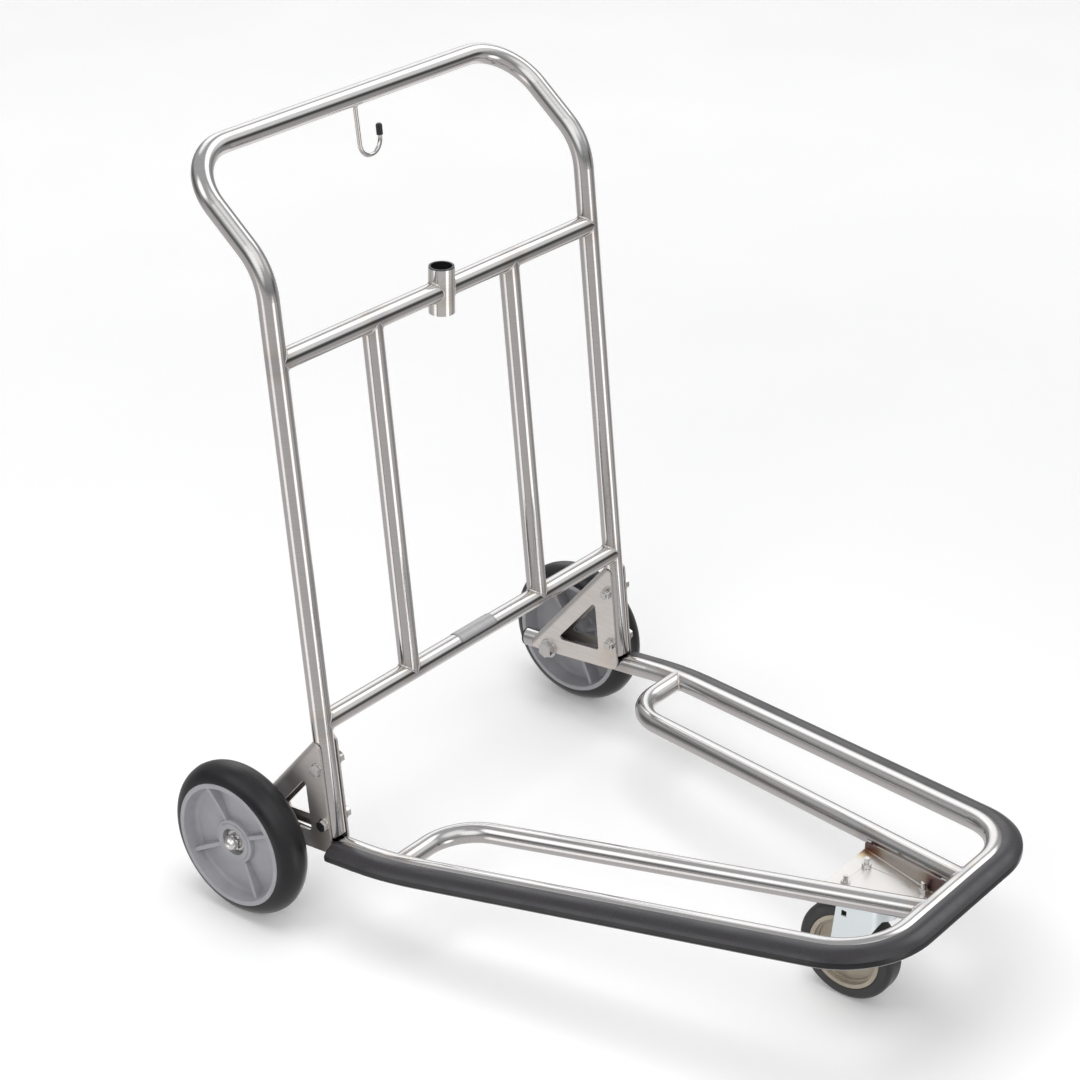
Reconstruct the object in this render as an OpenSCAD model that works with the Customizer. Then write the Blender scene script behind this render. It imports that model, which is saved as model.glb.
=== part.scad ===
// Folding platform cart: a tube deck on two rear wheels and one swivel caster, and an upright
// handle frame that folds forward over the deck. Millimetres. +Z up, X across the cart,
// -Y forward. The origin is on the floor, under the middle of the cart's length.
// Deck coordinates tilt with the deck: X across, "ahead" runs forward from the rear axle and
// "up" rises square to the deck from the plane of its tubes.

/* [Deck] */
// Outer diameter of the frame tubes
tube_d = 25.4; // [24:0.1:26]
// Wall thickness of the tubes
tube_wall = 1.5; // [1:0.1:2.5]
// Half the distance between the side tubes at the rear
side_x = 281.4; // [275:0.1:290]
// Half the distance between the side tubes where they meet the nose bar
nose_x = 149.4; // [140:0.1:160]
// Distance from the rear axle to the bend where the side tubes start to taper
knee_ahead = 204; // [200:1:210]
// Distance from the rear axle to the nose bar
nose_ahead = 792.3; // [785:0.1:800]
// Length of the side tubes behind the rear axle
tail_length = 48; // [40:1:80]
// Centreline radius of the taper bends
knee_r = 375; // [350:5:390]
// Centreline radius of the nose corners
nose_r = 80; // [70:1:90]
// Nose-up slope of the deck in degrees
tilt = 6.36; // [5:0.01:8]
// Distance from the rear axle to the cross run of the inner loops
loop_ahead = 211; // [208:1:216]
// Half the gap between the inner loops at their bends
loop_x = 175.3; // [170:0.1:180]
// Half the gap between the inner loops at the nose bar
loop_nose_x = 38; // [35:1:45]
// Centreline radius of the inner loops' bends
loop_r = 65; // [55:1:70]

/* [Bumper] */
// How far the bumper stands out from the centreline of the tube
bumper_reach = 32; // [30:0.5:34]
// Height of the bumper strip
bumper_h = 25; // [23:0.5:26]
// Drop of the bumper's middle below the tubes' plane
bumper_drop = 2.2; // [1:0.1:3]
// Distance from the rear axle to the bumper's square-cut ends
bumper_start = 121; // [120.5:0.5:130]
// Bumper screws along each tapered side
side_screws = 6; // [4:1:8]

/* [Handle] */
// Distance from the rear axle to the uprights
upright_ahead = 112; // [110:0.5:114]
// Height of the uprights' lower ends
foot_up = 14.5; // [14:0.1:16]
// Height of the lower crossbar
low_bar_up = 164; // [160:1:170]
// Height of the upper crossbar
high_bar_up = 617; // [600:1:630]
// Height at which the uprights bend back
bend_up = 723.5; // [715:0.5:730]
// Centreline radius of the backward bends
bend_r = 80; // [70:1:90]
// Backward angle of the grip section in degrees
grip_angle = 45; // [40:1:50]
// Length of the grip section from its bends to the top bar
grip_length = 163; // [160:1:170]
// Centreline radius of the top corners
grip_r = 70; // [60:1:80]
// Distance of the two vertical bars from the middle
grid_x = 124; // [110:1:140]

/* [Pole socket] */
// Outer diameter of the socket sleeve
socket_d = 31.75; // [31:0.05:34]
// Length of the socket sleeve
socket_length = 58; // [50:1:70]
// Bore of the socket's liner
socket_bore_d = 26; // [25.6:0.1:26.5]

/* [Hook and badge] */
// Diameter of the hook's rod
hook_d = 5.5; // [5:0.1:6]
// Sideways place of the hook's root on the top bar
hook_root_x = 5; // [0:1:10]
// Sideways place of the hook's tip
hook_tip_x = 42.5; // [40:0.5:46]
// Height of the bottom of the hook's centreline
hook_low_up = 762; // [755:1:770]
// Height of the hook's tip
hook_tip_up = 796; // [790:1:800]
// Length of the badge along the lower crossbar
badge_length = 68; // [60:1:80]
// Sideways place of the badge's middle
badge_x = -4; // [-10:1:10]
// Turn of the badge's middle up from straight ahead in degrees
badge_turn = 76; // [0:1:90]

/* [Brackets] */
// Thickness of the folded sheet
plate = 3; // [2.5:0.1:3]
// Clearance between a tube and each cheek of its bracket
cheek_gap = 0.5; // [0.4:0.05:0.8]
// Height of the pivot bolts
pivot_up = 34; // [33.9:0.1:34.5]
// Distance from the pivot bolts up to the lock bolts
lock_pitch = 75; // [70:1:80]

/* [Rear wheels] */
// Rear wheel diameter
wheel_d = 203.2; // [200:0.1:206]
// Distance from the cart's middle to the middle of each rear wheel
wheel_x = 331.4; // [331:0.1:340]
// Radius of the tyre's half-round section
tyre_section_r = 23.9; // [23:0.1:24.5]
// Radius at which the tyre sits on the hub
rim_r = 80; // [78:0.5:81]
// Ribs on each face of the hub
hub_ribs = 4; // [3:1:6]
// Turn of the first rib from straight ahead in degrees
rib_turn = 30; // [0:1:90]

/* [Caster] */
// Caster wheel diameter
caster_d = 127; // [125:0.5:128]
// Width of the caster wheel
caster_w = 30; // [29:0.5:31]
// Level distance from the rear axle to the kingpin
kingpin_ahead = 706.3; // [704:0.1:709]
// Distance of the caster wheel's axle behind the kingpin
trail = 38; // [36:0.5:39]
// Height of the caster from the floor to the top of its plate
caster_h = 161; // [160:0.5:162]
// Spacing of the mounting bolts across the cart
bolt_dx = 44.5; // [44:0.5:46]
// Spacing of the mounting bolts along the cart
bolt_dy = 76.2; // [75:0.1:78]

/* [Hidden] */
$fn = 48;

tube_r = tube_d / 2;
touch = 0.05;            // gap between pieces that meet on a curved face
clear = 0.4;             // gap between pieces that move past each other
run = 0.06;              // radial clearance of a turning fit
seam = 0.005;            // hairline between a tube's straight runs and its bends
wheel_r = wheel_d / 2;

// Bumper section: two shallow arcs, top and bottom, closed by a round front
bumper_mid = 12;
bumper_front_r = bumper_reach - bumper_mid;
bumper_arc_r = 26;
screw_r = 1.6;
screw_head_r = 3.2;
screw_head_h = 1.6;
screw_seat = 2.4;        // rubber under the head

// Handle: the top bar's place follows from the backward bends
top_bar_ahead = upright_ahead - grip_length * sin(grip_angle);
top_bar_up = bend_up + grip_length * cos(grip_angle);

// The origin is under the middle of the length, from the top bar to the bumper's front
rear_reach = top_bar_up * sin(tilt) - top_bar_ahead * cos(tilt) + tube_r;
front_reach = (nose_ahead + bumper_mid) * cos(tilt) + bumper_drop * sin(tilt) + bumper_front_r;
axle_y = (front_reach - rear_reach) / 2;
kingpin_y = axle_y - kingpin_ahead;
caster_axle_y = kingpin_y + trail;

deck_path = [[-side_x, tail_length], [-side_x, -knee_ahead], [-nose_x, -nose_ahead],
             [nose_x, -nose_ahead], [side_x, -knee_ahead], [side_x, tail_length]];
deck_bends = [knee_r, nose_r, nose_r, knee_r];

// Bracket: cheeks on both sides of the tubes, joined by a sloping web with round folds
cheek_in = tube_r + cheek_gap;
cheek_out = cheek_in + plate;
bracket_front = 119.2;
bracket_low = -5;
bracket_high = 143;
slope_rise = 38.3;       // height of the sloping edge above the axle
fold_r = 9;              // outer radius of the folds
web_tail = -28;
web_head = 103;
lock_up = pivot_up + lock_pitch;

// M8 bolts hold the handle, M12 bolts carry the rear wheels
m8_r = 4;
m8_flats = 13;
m8_head_h = 5.3;
m8_nut_h = 6.5;
m8_washer_r = 8.5;
m8_washer_h = 1.6;
m12_r = 6;
m12_flats = 19;
m12_head_h = 7.5;
pivot_sleeve_r = 6;

// Rear wheel, measured outward from its middle plane
hub_half = 24.5;
lip_r = 81.6;
lip_w = 2;
rim_in_r = 75.5;
disc_t = 4;
disc_out = 6;
disc_fall = 1.5;         // the disc falls this much from the boss to the rim
boss_r = 29;
boss_out = 15;
boss_in = -18;
boss_step = 1.5;
boss_step_r = 24;
rib_t = 5;
rib_drop = 7;            // depth of the ribs' ends below the lip
bearing_r = 17.5;
bearing_w = 10;
bearing_stop_r = 13;     // inner radius of the ring between the two bearings
sleeve_r = 8.5;
sleeve_out = 8.2;
sleeve_in = -18.5;
axle_washer_h = 2;
axle_washer_r = 13.5;
nut_hex_h = 7;
nut_dome_r = 8.5;

// Caster, heights from the floor
caster_r = caster_d / 2;
caster_plate = 3;
caster_plate_x = 62;
caster_plate_y = 94;
race_h = 5;
race_r = 27;
ball_r = 2.4;
ball_ring_r = 20.5;
ball_count = 16;
fork_t = 2.5;
fork_in = 18.5;
fork_top = caster_h - 13;
fork_front_r = fork_in + fork_t;
fork_lip_up = 131;       // lower edge of the fork's round front
fork_hole = [60, 7, 8];  // square hole through both legs
fork_hole_up = 122;
kingpin_r = 6;
core_r = 47.7;
caster_sleeve_r = 6;
tray_rear = 646;
tray_front = 774;
tray_gap = 3;            // space between the tray's flanges and the inner loops
tray_tab = 9;            // length of the flanges' ends that reach the loops
flange_up = -1.5;

// M6 bolts hold the caster
m6_r = 3;
m6_flats = 10;
m6_head_h = 4;
m6_nut_h = 5;
m6_end = 7.5;            // thread above the nut

// ---- general shapes ----

module deck() {
    translate([0, axle_y, wheel_r]) rotate([-tilt, 0, 0]) children();
}

module both_sides() {
    children();
    mirror([1, 0, 0]) children();
}

// A rod along X from one side to the other
module rod_x(x0, x1, r) {
    translate([x0, 0, 0]) rotate([0, 90, 0]) cylinder(r = r, h = x1 - x0);
}

module hex_x(x0, x1, flats) {
    translate([x0, 0, 0]) rotate([0, 90, 0])
        cylinder(d = flats / cos(30), h = x1 - x0, $fn = 6);
}

module washer_x(x0, x1, r, hole_r) {
    difference() {
        rod_x(x0, x1, r);
        rod_x(x0 - 1, x1 + 1, hole_r);
    }
}

// Stands a shape drawn in deck coordinates [-ahead, up] upright, thickness along X
module side_view(x0, x1) {
    translate([x0, 0, 0]) rotate([90, 0, 90]) linear_extrude(x1 - x0) children();
}

module ring(r, wall) {
    difference() {
        circle(r);
        circle(r - wall);
    }
}

module tube_section() {
    ring(tube_r, tube_wall);
}

function heading(path, i) = let (d = path[i + 1] - path[i]) atan2(d.y, d.x);
function turn(path, i) =
    let (a = heading(path, i) - heading(path, i - 1)) a > 180 ? a - 360 : a < -180 ? a + 360 : a;
function trim(path, bends, i) =
    i == 0 || i == len(path) - 1 ? 0 : bends[i - 1] * tan(abs(turn(path, i)) / 2);

// Sweeps a section along a flat path with rounded bends. The section's x axis points left of
// the direction of travel and its y axis points up.
module along(path, bends) {
    for (i = [0 : len(path) - 2]) {
        a = heading(path, i);
        t0 = trim(path, bends, i);
        run_length = norm(path[i + 1] - path[i]) - t0 - trim(path, bends, i + 1);
        if (run_length > 1)
            translate(path[i] + (t0 + seam) * [cos(a), sin(a)])
                rotate([90, 0, a + 90]) linear_extrude(run_length - 2 * seam) children();
    }
    for (i = [1 : len(path) - 2]) {
        a = heading(path, i - 1);
        bend = turn(path, i);
        side = sign(bend);
        r = bends[i - 1];
        corner = path[i] - trim(path, bends, i) * [cos(a), sin(a)];
        translate(corner + side * r * [-sin(a), cos(a)])
            rotate([0, 0, bend > 0 ? a - 90 : a + 90 + bend])
                rotate_extrude(angle = abs(bend), $fn = 96)
                    translate([r, 0]) mirror([side > 0 ? 1 : 0, 0]) children();
    }
}

// A closed outline whose corners [x, y, radius] are rounded
function rounded(corners, steps = 6) = [
    for (i = [0 : len(corners) - 1])
        let (n = len(corners), c = corners[i], corner = [c.x, c.y],
             before = corners[(i + n - 1) % n], after = corners[(i + 1) % n],
             u = [before.x, before.y] - corner, v = [after.x, after.y] - corner,
             u1 = u / norm(u), v1 = v / norm(v),
             half = acos(u1 * v1) / 2,
             middle = (u1 + v1) / norm(u1 + v1),
             centre = corner + middle * c[2] / sin(half),
             p0 = corner + u1 * c[2] / tan(half) - centre,
             p1 = corner + v1 * c[2] / tan(half) - centre,
             a0 = atan2(p0.y, p0.x),
             a1 = atan2(p1.y, p1.x),
             sweep = a1 - a0 > 180 ? a1 - a0 - 360 : a1 - a0 < -180 ? a1 - a0 + 360 : a1 - a0)
        for (k = [0 : steps])
            centre + c[2] * [cos(a0 + sweep * k / steps), sin(a0 + sweep * k / steps)]
];

// ---- deck ----

module deck_solid() {
    along(deck_path, deck_bends) circle(tube_r + touch);
}

// Places that screw the bumper on: along the nose bar and both tapered sides
module at_bumper_screws() {
    taper = atan2(side_x - nose_x, nose_ahead - knee_ahead);
    taper_length = norm([side_x - nose_x, nose_ahead - knee_ahead]);
    first = 70;
    last = taper_length - 80;
    both_sides() {
        for (k = [0 : side_screws - 1])
            translate([side_x, -knee_ahead, 0]) rotate([0, 0, 180 - taper])
                translate([0, first + (last - first) * k / (side_screws - 1), 0])
                    rotate([0, -150, 0]) children();
        translate([side_x, -(bumper_start + 22), 0]) rotate([0, 150, 0]) children();
        translate([nose_x / 3, -nose_ahead, 0]) rotate([150, 0, 0]) children();
    }
}

module platform_tube() {
    color("gainsboro") deck() difference() {
        along(deck_path, deck_bends) tube_section();
        rod_x(-side_x - 20, side_x + 20, m12_r + 0.2);
        at_bumper_screws() cylinder(r = screw_r + 0.1, h = 20);
    }
}

module inner_loop(side) {
    color("gainsboro") deck() difference() {
        along([[side * (side_x - 3), -loop_ahead], [side * loop_x, -loop_ahead],
               [side * loop_nose_x, -nose_ahead]], [loop_r]) tube_section();
        deck_solid();
    }
}

module inner_loop_left() {
    inner_loop(-1);
}

module inner_loop_right() {
    inner_loop(1);
}

module bumper_section() {
    difference() {
        translate([-bumper_mid, -bumper_drop]) intersection() {
            translate([0, bumper_h / 2 - bumper_arc_r]) circle(bumper_arc_r, $fn = 96);
            translate([0, bumper_arc_r - bumper_h / 2]) circle(bumper_arc_r, $fn = 96);
            circle(bumper_front_r);
        }
        circle(tube_r + touch);
    }
}

module bumper_strip() {
    path = [[-side_x, -bumper_start], for (i = [1 : 4]) deck_path[i], [side_x, -bumper_start]];
    color("dimgray") deck() difference() {
        along(path, deck_bends) bumper_section();
        at_bumper_screws() {
            cylinder(r = screw_r + 0.2, h = 30);
            translate([0, 0, tube_r + screw_seat]) {
                cylinder(r1 = screw_r + 0.1, r2 = screw_head_r + 0.2, h = screw_head_h);
                translate([0, 0, screw_head_h - 0.01]) cylinder(r = screw_head_r + 0.2, h = 20);
            }
        }
    }
}

module bumper_screws() {
    color("silver") deck() at_bumper_screws() {
        translate([0, 0, tube_r - 3]) cylinder(r = screw_r, h = screw_seat + 3.1);
        translate([0, 0, tube_r + screw_seat])
            cylinder(r1 = screw_r, r2 = screw_head_r, h = screw_head_h);
    }
}

module tube_end_plugs() {
    color("#202020") deck() both_sides() translate([side_x, tail_length, 0]) rotate([-90, 0, 0]) {
        translate([0, 0, touch]) cylinder(r = tube_r, h = 2.5);
        translate([0, 0, -12]) cylinder(r = tube_r - tube_wall - touch, h = 12.2);
    }
}

// ---- brackets ----

module cheek_outline() {
    front = -bracket_front;
    tail = slope_rise - bracket_low;
    difference() {
        polygon(rounded([[front, bracket_low, 12], [front, bracket_high, 9],
                         [slope_rise - bracket_high, bracket_high, 3], [tail, bracket_low, 9]]));
        polygon(rounded([[-89, 19, 4], [-89, 91, 3.5], [-17, 19, 4]]));
    }
}

module web_outline() {
    inward = fold_r * [-sin(45), -cos(45)];
    low = [-web_tail, web_tail + slope_rise];
    high = [-web_head, web_head + slope_rise];
    polygon([low, high, high + inward, low + inward]);
}

// Section square to the web: the bracket's outside, or its inside at an inset of one sheet
module fold_section(inset) {
    half = cheek_out - inset;
    top = slope_rise * sin(45) - inset;
    r = fold_r - inset;
    polygon(rounded([[-half, -200, 1], [half, -200, 1], [half, top, r], [-half, top, r]], 12));
}

module along_web(side) {
    translate([side * side_x, 0, 0]) rotate([45, 0, 0])
        linear_extrude(400, center = true) children();
}

module bracket(side) {
    color("silver") deck() difference() {
        intersection() {
            union() {
                for (x = [side * side_x - cheek_out, side * side_x + cheek_in])
                    side_view(x, x + plate) cheek_outline();
                difference() {
                    intersection() {
                        side_view(side * side_x - cheek_out, side * side_x + cheek_out)
                            web_outline();
                        along_web(side) difference() {
                            fold_section(0);
                            fold_section(plate);
                        }
                    }
                    translate([side * side_x, -upright_ahead, 0])
                        cylinder(r = tube_r + clear, h = 200);
                    translate([side * side_x, 0, 0]) rotate([90, 0, 0])
                        cylinder(r = tube_r + touch, h = 200, center = true);
                }
            }
            along_web(side) fold_section(0);
        }
        translate([side * side_x, 0, 0]) {
            rod_x(-20, 20, m12_r + 0.2);
            for (up = [pivot_up, lock_up])
                translate([0, -upright_ahead, up]) rod_x(-20, 20, m8_r + 0.2);
        }
    }
}

module bracket_left() {
    bracket(-1);
}

module bracket_right() {
    bracket(1);
}

// Fasteners through a bracket at a given place, head outward; drawn for the right side
module at_bracket(ahead, up) {
    deck() both_sides() translate([side_x, -ahead, up]) children();
}

module m8_bolt() {
    head = cheek_out + m8_washer_h;
    rod_x(-head - m8_nut_h - 2, head + 0.1, m8_r);
    hex_x(head, head + m8_head_h, m8_flats);
}

module m8_nut() {
    face = cheek_out + m8_washer_h;
    difference() {
        hex_x(-face - m8_nut_h, -face, m8_flats);
        rod_x(-face - m8_nut_h - 1, -face + 1, m8_r + touch);
    }
}

module pivot_bolts() {
    color("silver") at_bracket(upright_ahead, pivot_up) m8_bolt();
}

module pivot_nuts() {
    color("silver") at_bracket(upright_ahead, pivot_up) m8_nut();
}

module lock_bolts() {
    color("silver") at_bracket(upright_ahead, lock_up) m8_bolt();
}

module lock_nuts() {
    color("silver") at_bracket(upright_ahead, lock_up) m8_nut();
}

module bolt_washers() {
    color("silver") for (up = [pivot_up, lock_up])
        at_bracket(upright_ahead, up)
            for (x = [-cheek_out - m8_washer_h, cheek_out])
                washer_x(x, x + m8_washer_h, m8_washer_r, m8_r + touch);
}

// ---- rear axles ----

axle_head_x = -cheek_out - axle_washer_h;
wheel_offset = wheel_x - side_x;

module axle_bolts() {
    color("silver") at_bracket(0, 0) {
        hex_x(axle_head_x - m12_head_h, axle_head_x, m12_flats);
        rod_x(axle_head_x - 0.1, wheel_offset + sleeve_out + axle_washer_h + nut_hex_h + 3, m12_r);
    }
}

module axle_spacers() {
    color("gray") at_bracket(0, 0)
        washer_x(cheek_out, wheel_offset + sleeve_in, 11, m12_r + touch);
}

module axle_sleeves() {
    color("silver") at_bracket(0, 0)
        washer_x(wheel_offset + sleeve_in, wheel_offset + sleeve_out, sleeve_r, m12_r + touch);
}

module axle_washers() {
    color("silver") at_bracket(0, 0)
        for (x = [-cheek_out - axle_washer_h, wheel_offset + sleeve_out])
            washer_x(x, x + axle_washer_h, axle_washer_r, m12_r + touch);
}

module dome_nuts() {
    face = wheel_offset + sleeve_out + axle_washer_h;
    color("silver") at_bracket(0, 0) difference() {
        union() {
            hex_x(face, face + nut_hex_h, m12_flats);
            translate([face + nut_hex_h - 1, 0, 0]) turned() intersection() {
                circle(nut_dome_r);
                square(nut_dome_r + 1);
            }
        }
        rod_x(face - 1, face + nut_hex_h + 3.2, m12_r + touch);
    }
}

// ---- rear wheels ----

// Places a wheel on its axle; x runs outward from the wheel's middle plane
module at_wheel(side) {
    translate([side * wheel_x, axle_y, wheel_r]) mirror([side < 0 ? 1 : 0, 0, 0]) children();
}

// Turns a half section [radius, outward] about the axle
module turned() {
    rotate([0, 90, 0]) rotate_extrude($fn = 96) children();
}

module tyre(side) {
    color("#2b2b2d") at_wheel(side) turned() difference() {
        translate([wheel_r - tyre_section_r, 0]) circle(tyre_section_r);
        translate([0, -50]) square([rim_r + touch, 100]);
        for (y = [hub_half - lip_w, -hub_half])
            translate([0, y - touch]) square([lip_r + touch, lip_w + 2 * touch]);
    }
}

module hub_section() {
    translate([rim_in_r, -hub_half]) square([rim_r - rim_in_r, 2 * hub_half]);
    for (y = [hub_half - lip_w, -hub_half])
        translate([rim_in_r, y]) square([lip_r - rim_in_r, lip_w]);
    polygon([[boss_r - 1, disc_out], [rim_in_r + 1, disc_out - disc_fall],
             [rim_in_r + 1, disc_out - disc_fall - disc_t], [boss_r - 1, disc_out - disc_t]]);
    translate([bearing_r, boss_in])
        square([boss_r - bearing_r, boss_out - boss_step - boss_in]);
    translate([bearing_r, boss_in]) square([boss_step_r - bearing_r, boss_out - boss_in]);
    translate([bearing_stop_r, boss_in + bearing_w])
        square([bearing_r - bearing_stop_r + 0.1, sleeve_out - 0.2 - boss_in - 2 * bearing_w]);
}

module hub_rib() {
    side_profile = [[boss_r - 1, boss_in + 3], [rim_in_r + 1, rib_drop - hub_half],
                    [rim_in_r + 1, hub_half - rib_drop], [boss_r - 1, boss_out - 2]];
    rotate([90, 0, 0]) linear_extrude(rib_t, center = true)
        polygon([for (p = side_profile) [p.y, p.x]]);
}

module hub(side) {
    color("#96969c") at_wheel(side) {
        turned() hub_section();
        for (k = [0 : hub_ribs - 1]) rotate([rib_turn - 180 + 360 * k / hub_ribs, 0, 0]) hub_rib();
    }
}

module bearings(side) {
    color("silver") at_wheel(side)
        for (x = [boss_in, sleeve_out - 0.2 - bearing_w])
            washer_x(x, x + bearing_w, bearing_r - touch, sleeve_r + run);
}

module left_tyre() {
    tyre(-1);
}

module right_tyre() {
    tyre(1);
}

module left_hub() {
    hub(-1);
}

module right_hub() {
    hub(1);
}

module left_bearings() {
    bearings(-1);
}

module right_bearings() {
    bearings(1);
}

// ---- handle frame ----

module at_upright(side) {
    translate([side * side_x, -upright_ahead, 0]) children();
}

module handle_side() {
    bend_trim = bend_r * tan(grip_angle / 2);
    end = grip_length - grip_r;
    path = [[-upright_ahead, foot_up], [-upright_ahead, bend_up],
            [-upright_ahead + end * sin(grip_angle), bend_up + end * cos(grip_angle)]];
    translate([side_x, 0, 0]) rotate([90, 0, 90]) along(path, [bend_r]) tube_section();
}

module grip_loop() {
    start = grip_length - grip_r;
    translate([0, -upright_ahead, bend_up]) rotate([90 - grip_angle, 0, 0])
        along([[-side_x, start], [-side_x, grip_length], [side_x, grip_length], [side_x, start]],
              [grip_r, grip_r]) tube_section();
}

// The swing of the lock bolt through the upright: round at the locked end, open at the back
module lock_slot() {
    slot_half = m8_r + 0.3;
    swing = 12;
    translate([side_x, -upright_ahead, pivot_up]) {
        translate([0, 0, lock_pitch]) rod_x(-20, 20, slot_half + 0.3);
        rotate([0, 90, 0]) rotate([0, 0, 180 - swing])
            rotate_extrude(angle = swing)
                translate([lock_pitch - slot_half, -20]) square([2 * slot_half, 40]);
    }
}

module foot_trim() {
    translate([side_x, -upright_ahead, pivot_up]) difference() {
        translate([-20, -20, -40]) cube([40, 20, 40]);
        rod_x(-21, 21, pivot_up - tube_r - clear);
    }
}

module handle_tube() {
    color("gainsboro") deck() {
        both_sides() difference() {
            handle_side();
            lock_slot();
            foot_trim();
            translate([side_x, -upright_ahead, pivot_up]) rod_x(-20, 20, pivot_sleeve_r + touch);
        }
        grip_loop();
    }
}

module pivot_sleeves() {
    color("silver") deck() both_sides() translate([side_x, -upright_ahead, pivot_up])
        washer_x(-tube_r - 0.1, tube_r + 0.1, pivot_sleeve_r, m8_r + run);
}

module crossbar(up) {
    translate([0, -upright_ahead, up]) difference() {
        washer_x(-side_x, side_x, tube_r, tube_r - tube_wall);
        for (side = [-1, 1])
            translate([side * side_x, 0, 0]) cylinder(r = tube_r + touch, h = 80, center = true);
    }
}

module lower_crossbar() {
    color("gainsboro") deck() crossbar(low_bar_up);
}

// The sleeve stands plumb although the handle leans back with the deck
module at_socket() {
    translate([0, -upright_ahead, high_bar_up]) rotate([tilt, 0, 0]) children();
}

module upper_crossbar() {
    color("gainsboro") deck() difference() {
        crossbar(high_bar_up);
        at_socket() cylinder(d = socket_d + 2 * touch, h = 80, center = true);
    }
}

module grid_bar(x) {
    color("gainsboro") deck() difference() {
        translate([x, -upright_ahead, low_bar_up]) difference() {
            cylinder(r = tube_r, h = high_bar_up - low_bar_up);
            translate([0, 0, -1])
                cylinder(r = tube_r - tube_wall, h = high_bar_up - low_bar_up + 2);
        }
        for (up = [low_bar_up, high_bar_up])
            translate([x, -upright_ahead, up]) rod_x(-20, 20, tube_r + touch);
    }
}

module grid_bar_left() {
    grid_bar(-grid_x);
}

module grid_bar_right() {
    grid_bar(grid_x);
}

module pole_socket() {
    liner_r = socket_d / 2 - tube_wall;
    color("silver") deck() at_socket() difference() {
        cylinder(d = socket_d, h = socket_length, center = true);
        cylinder(r = liner_r, h = socket_length + 2, center = true);
    }
}

module socket_liner() {
    color("#151515") deck() at_socket() difference() {
        union() {
            cylinder(r = socket_d / 2 - tube_wall - touch, h = socket_length, center = true);
            translate([0, 0, socket_length / 2]) cylinder(r = socket_d / 2 - 0.4, h = 1);
        }
        cylinder(d = socket_bore_d, h = socket_length + 8, center = true);
    }
}

module bag_hook() {
    bend = (hook_tip_x - hook_root_x) / 2 - 1.5;
    path = [[hook_root_x, top_bar_up], [hook_root_x + 2, hook_low_up],
            [hook_tip_x, hook_low_up], [hook_tip_x, hook_tip_up - 2]];
    color("silver") deck() difference() {
        translate([0, -top_bar_ahead, 0]) rotate([90, 0, 0])
            along(path, [bend, bend]) circle(hook_d / 2);
        translate([0, -top_bar_ahead, top_bar_up]) rod_x(-50, 90, tube_r + touch);
    }
}

module hook_tip_cap() {
    cap_r = 4;
    cap_h = 14;
    color("#151515") deck() translate([hook_tip_x, -top_bar_ahead, hook_tip_up - cap_h])
        difference() {
            union() {
                cylinder(r = cap_r, h = cap_h - 2);
                translate([0, 0, cap_h - 2]) cylinder(r1 = cap_r, r2 = cap_r - 1.5, h = 2);
            }
            translate([0, 0, -1]) cylinder(r = hook_d / 2 + touch, h = cap_h - 0.9);
        }
}

// A thin blank plate curved over the top of the lower crossbar
module badge_plate() {
    wrap = 110;
    color("#b8bcc2") deck() translate([badge_x, -upright_ahead, low_bar_up])
        rotate([90, 0, 90]) rotate([0, 0, 180 - badge_turn - wrap / 2])
            rotate_extrude(angle = wrap) translate([tube_r + touch, -badge_length / 2])
                square([0.8, badge_length]);
}

// ---- caster ----

module at_kingpin(z) {
    translate([0, kingpin_y, z]) children();
}

module at_mounting_bolts() {
    for (x = [-1, 1], y = [-1, 1])
        at_kingpin(0) translate([x * bolt_dx / 2, y * bolt_dy / 2, 0]) children();
}

// Plan of the tray: it narrows forward between the inner loops
function loop_inner_x(ahead) =
    let (slope = (loop_x - loop_nose_x) / (nose_ahead - loop_ahead))
    loop_x - (ahead / cos(tilt) - loop_ahead) * slope - (tube_r + touch) * norm([1, slope]);

module tray_plan(inset) {
    polygon([for (end = [[1, tray_rear], [1, tray_front], [-1, tray_front], [-1, tray_rear]])
             [end[0] * (loop_inner_x(end[1]) - inset), axle_y - end[1]]]);
}

module tray_flanges() {
    difference() {
        tray_plan(tray_gap);
        tray_plan(tray_gap + plate);
    }
    intersection() {
        difference() {
            tray_plan(0);
            tray_plan(tray_gap + 1);
        }
        for (ahead = [tray_rear, tray_front - tray_tab])
            translate([-100, axle_y - ahead - tray_tab]) square([200, tray_tab]);
    }
}

module caster_tray() {
    color("silver") difference() {
        union() {
            translate([0, 0, caster_h]) linear_extrude(plate) tray_plan(tray_gap);
            intersection() {
                translate([0, 0, caster_h]) linear_extrude(80) tray_flanges();
                deck() translate([-200, -900, flange_up - 80]) cube([400, 400, 80]);
            }
        }
        at_mounting_bolts() translate([0, 0, caster_h - 1]) cylinder(r = m6_r + 0.3, h = 10);
    }
}

module mounting_bolts() {
    color("silver") at_mounting_bolts() {
        translate([0, 0, caster_h - caster_plate - m6_head_h])
            cylinder(d = m6_flats / cos(30), h = m6_head_h, $fn = 6);
        translate([0, 0, caster_h - caster_plate - 0.1])
            cylinder(r = m6_r, h = caster_plate + plate + m6_nut_h + m6_end);
    }
}

module mounting_nuts() {
    color("silver") at_mounting_bolts() translate([0, 0, caster_h + plate]) difference() {
        cylinder(d = m6_flats / cos(30), h = m6_nut_h, $fn = 6);
        translate([0, 0, -1]) cylinder(r = m6_r + touch, h = m6_nut_h + 2);
    }
}

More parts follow.
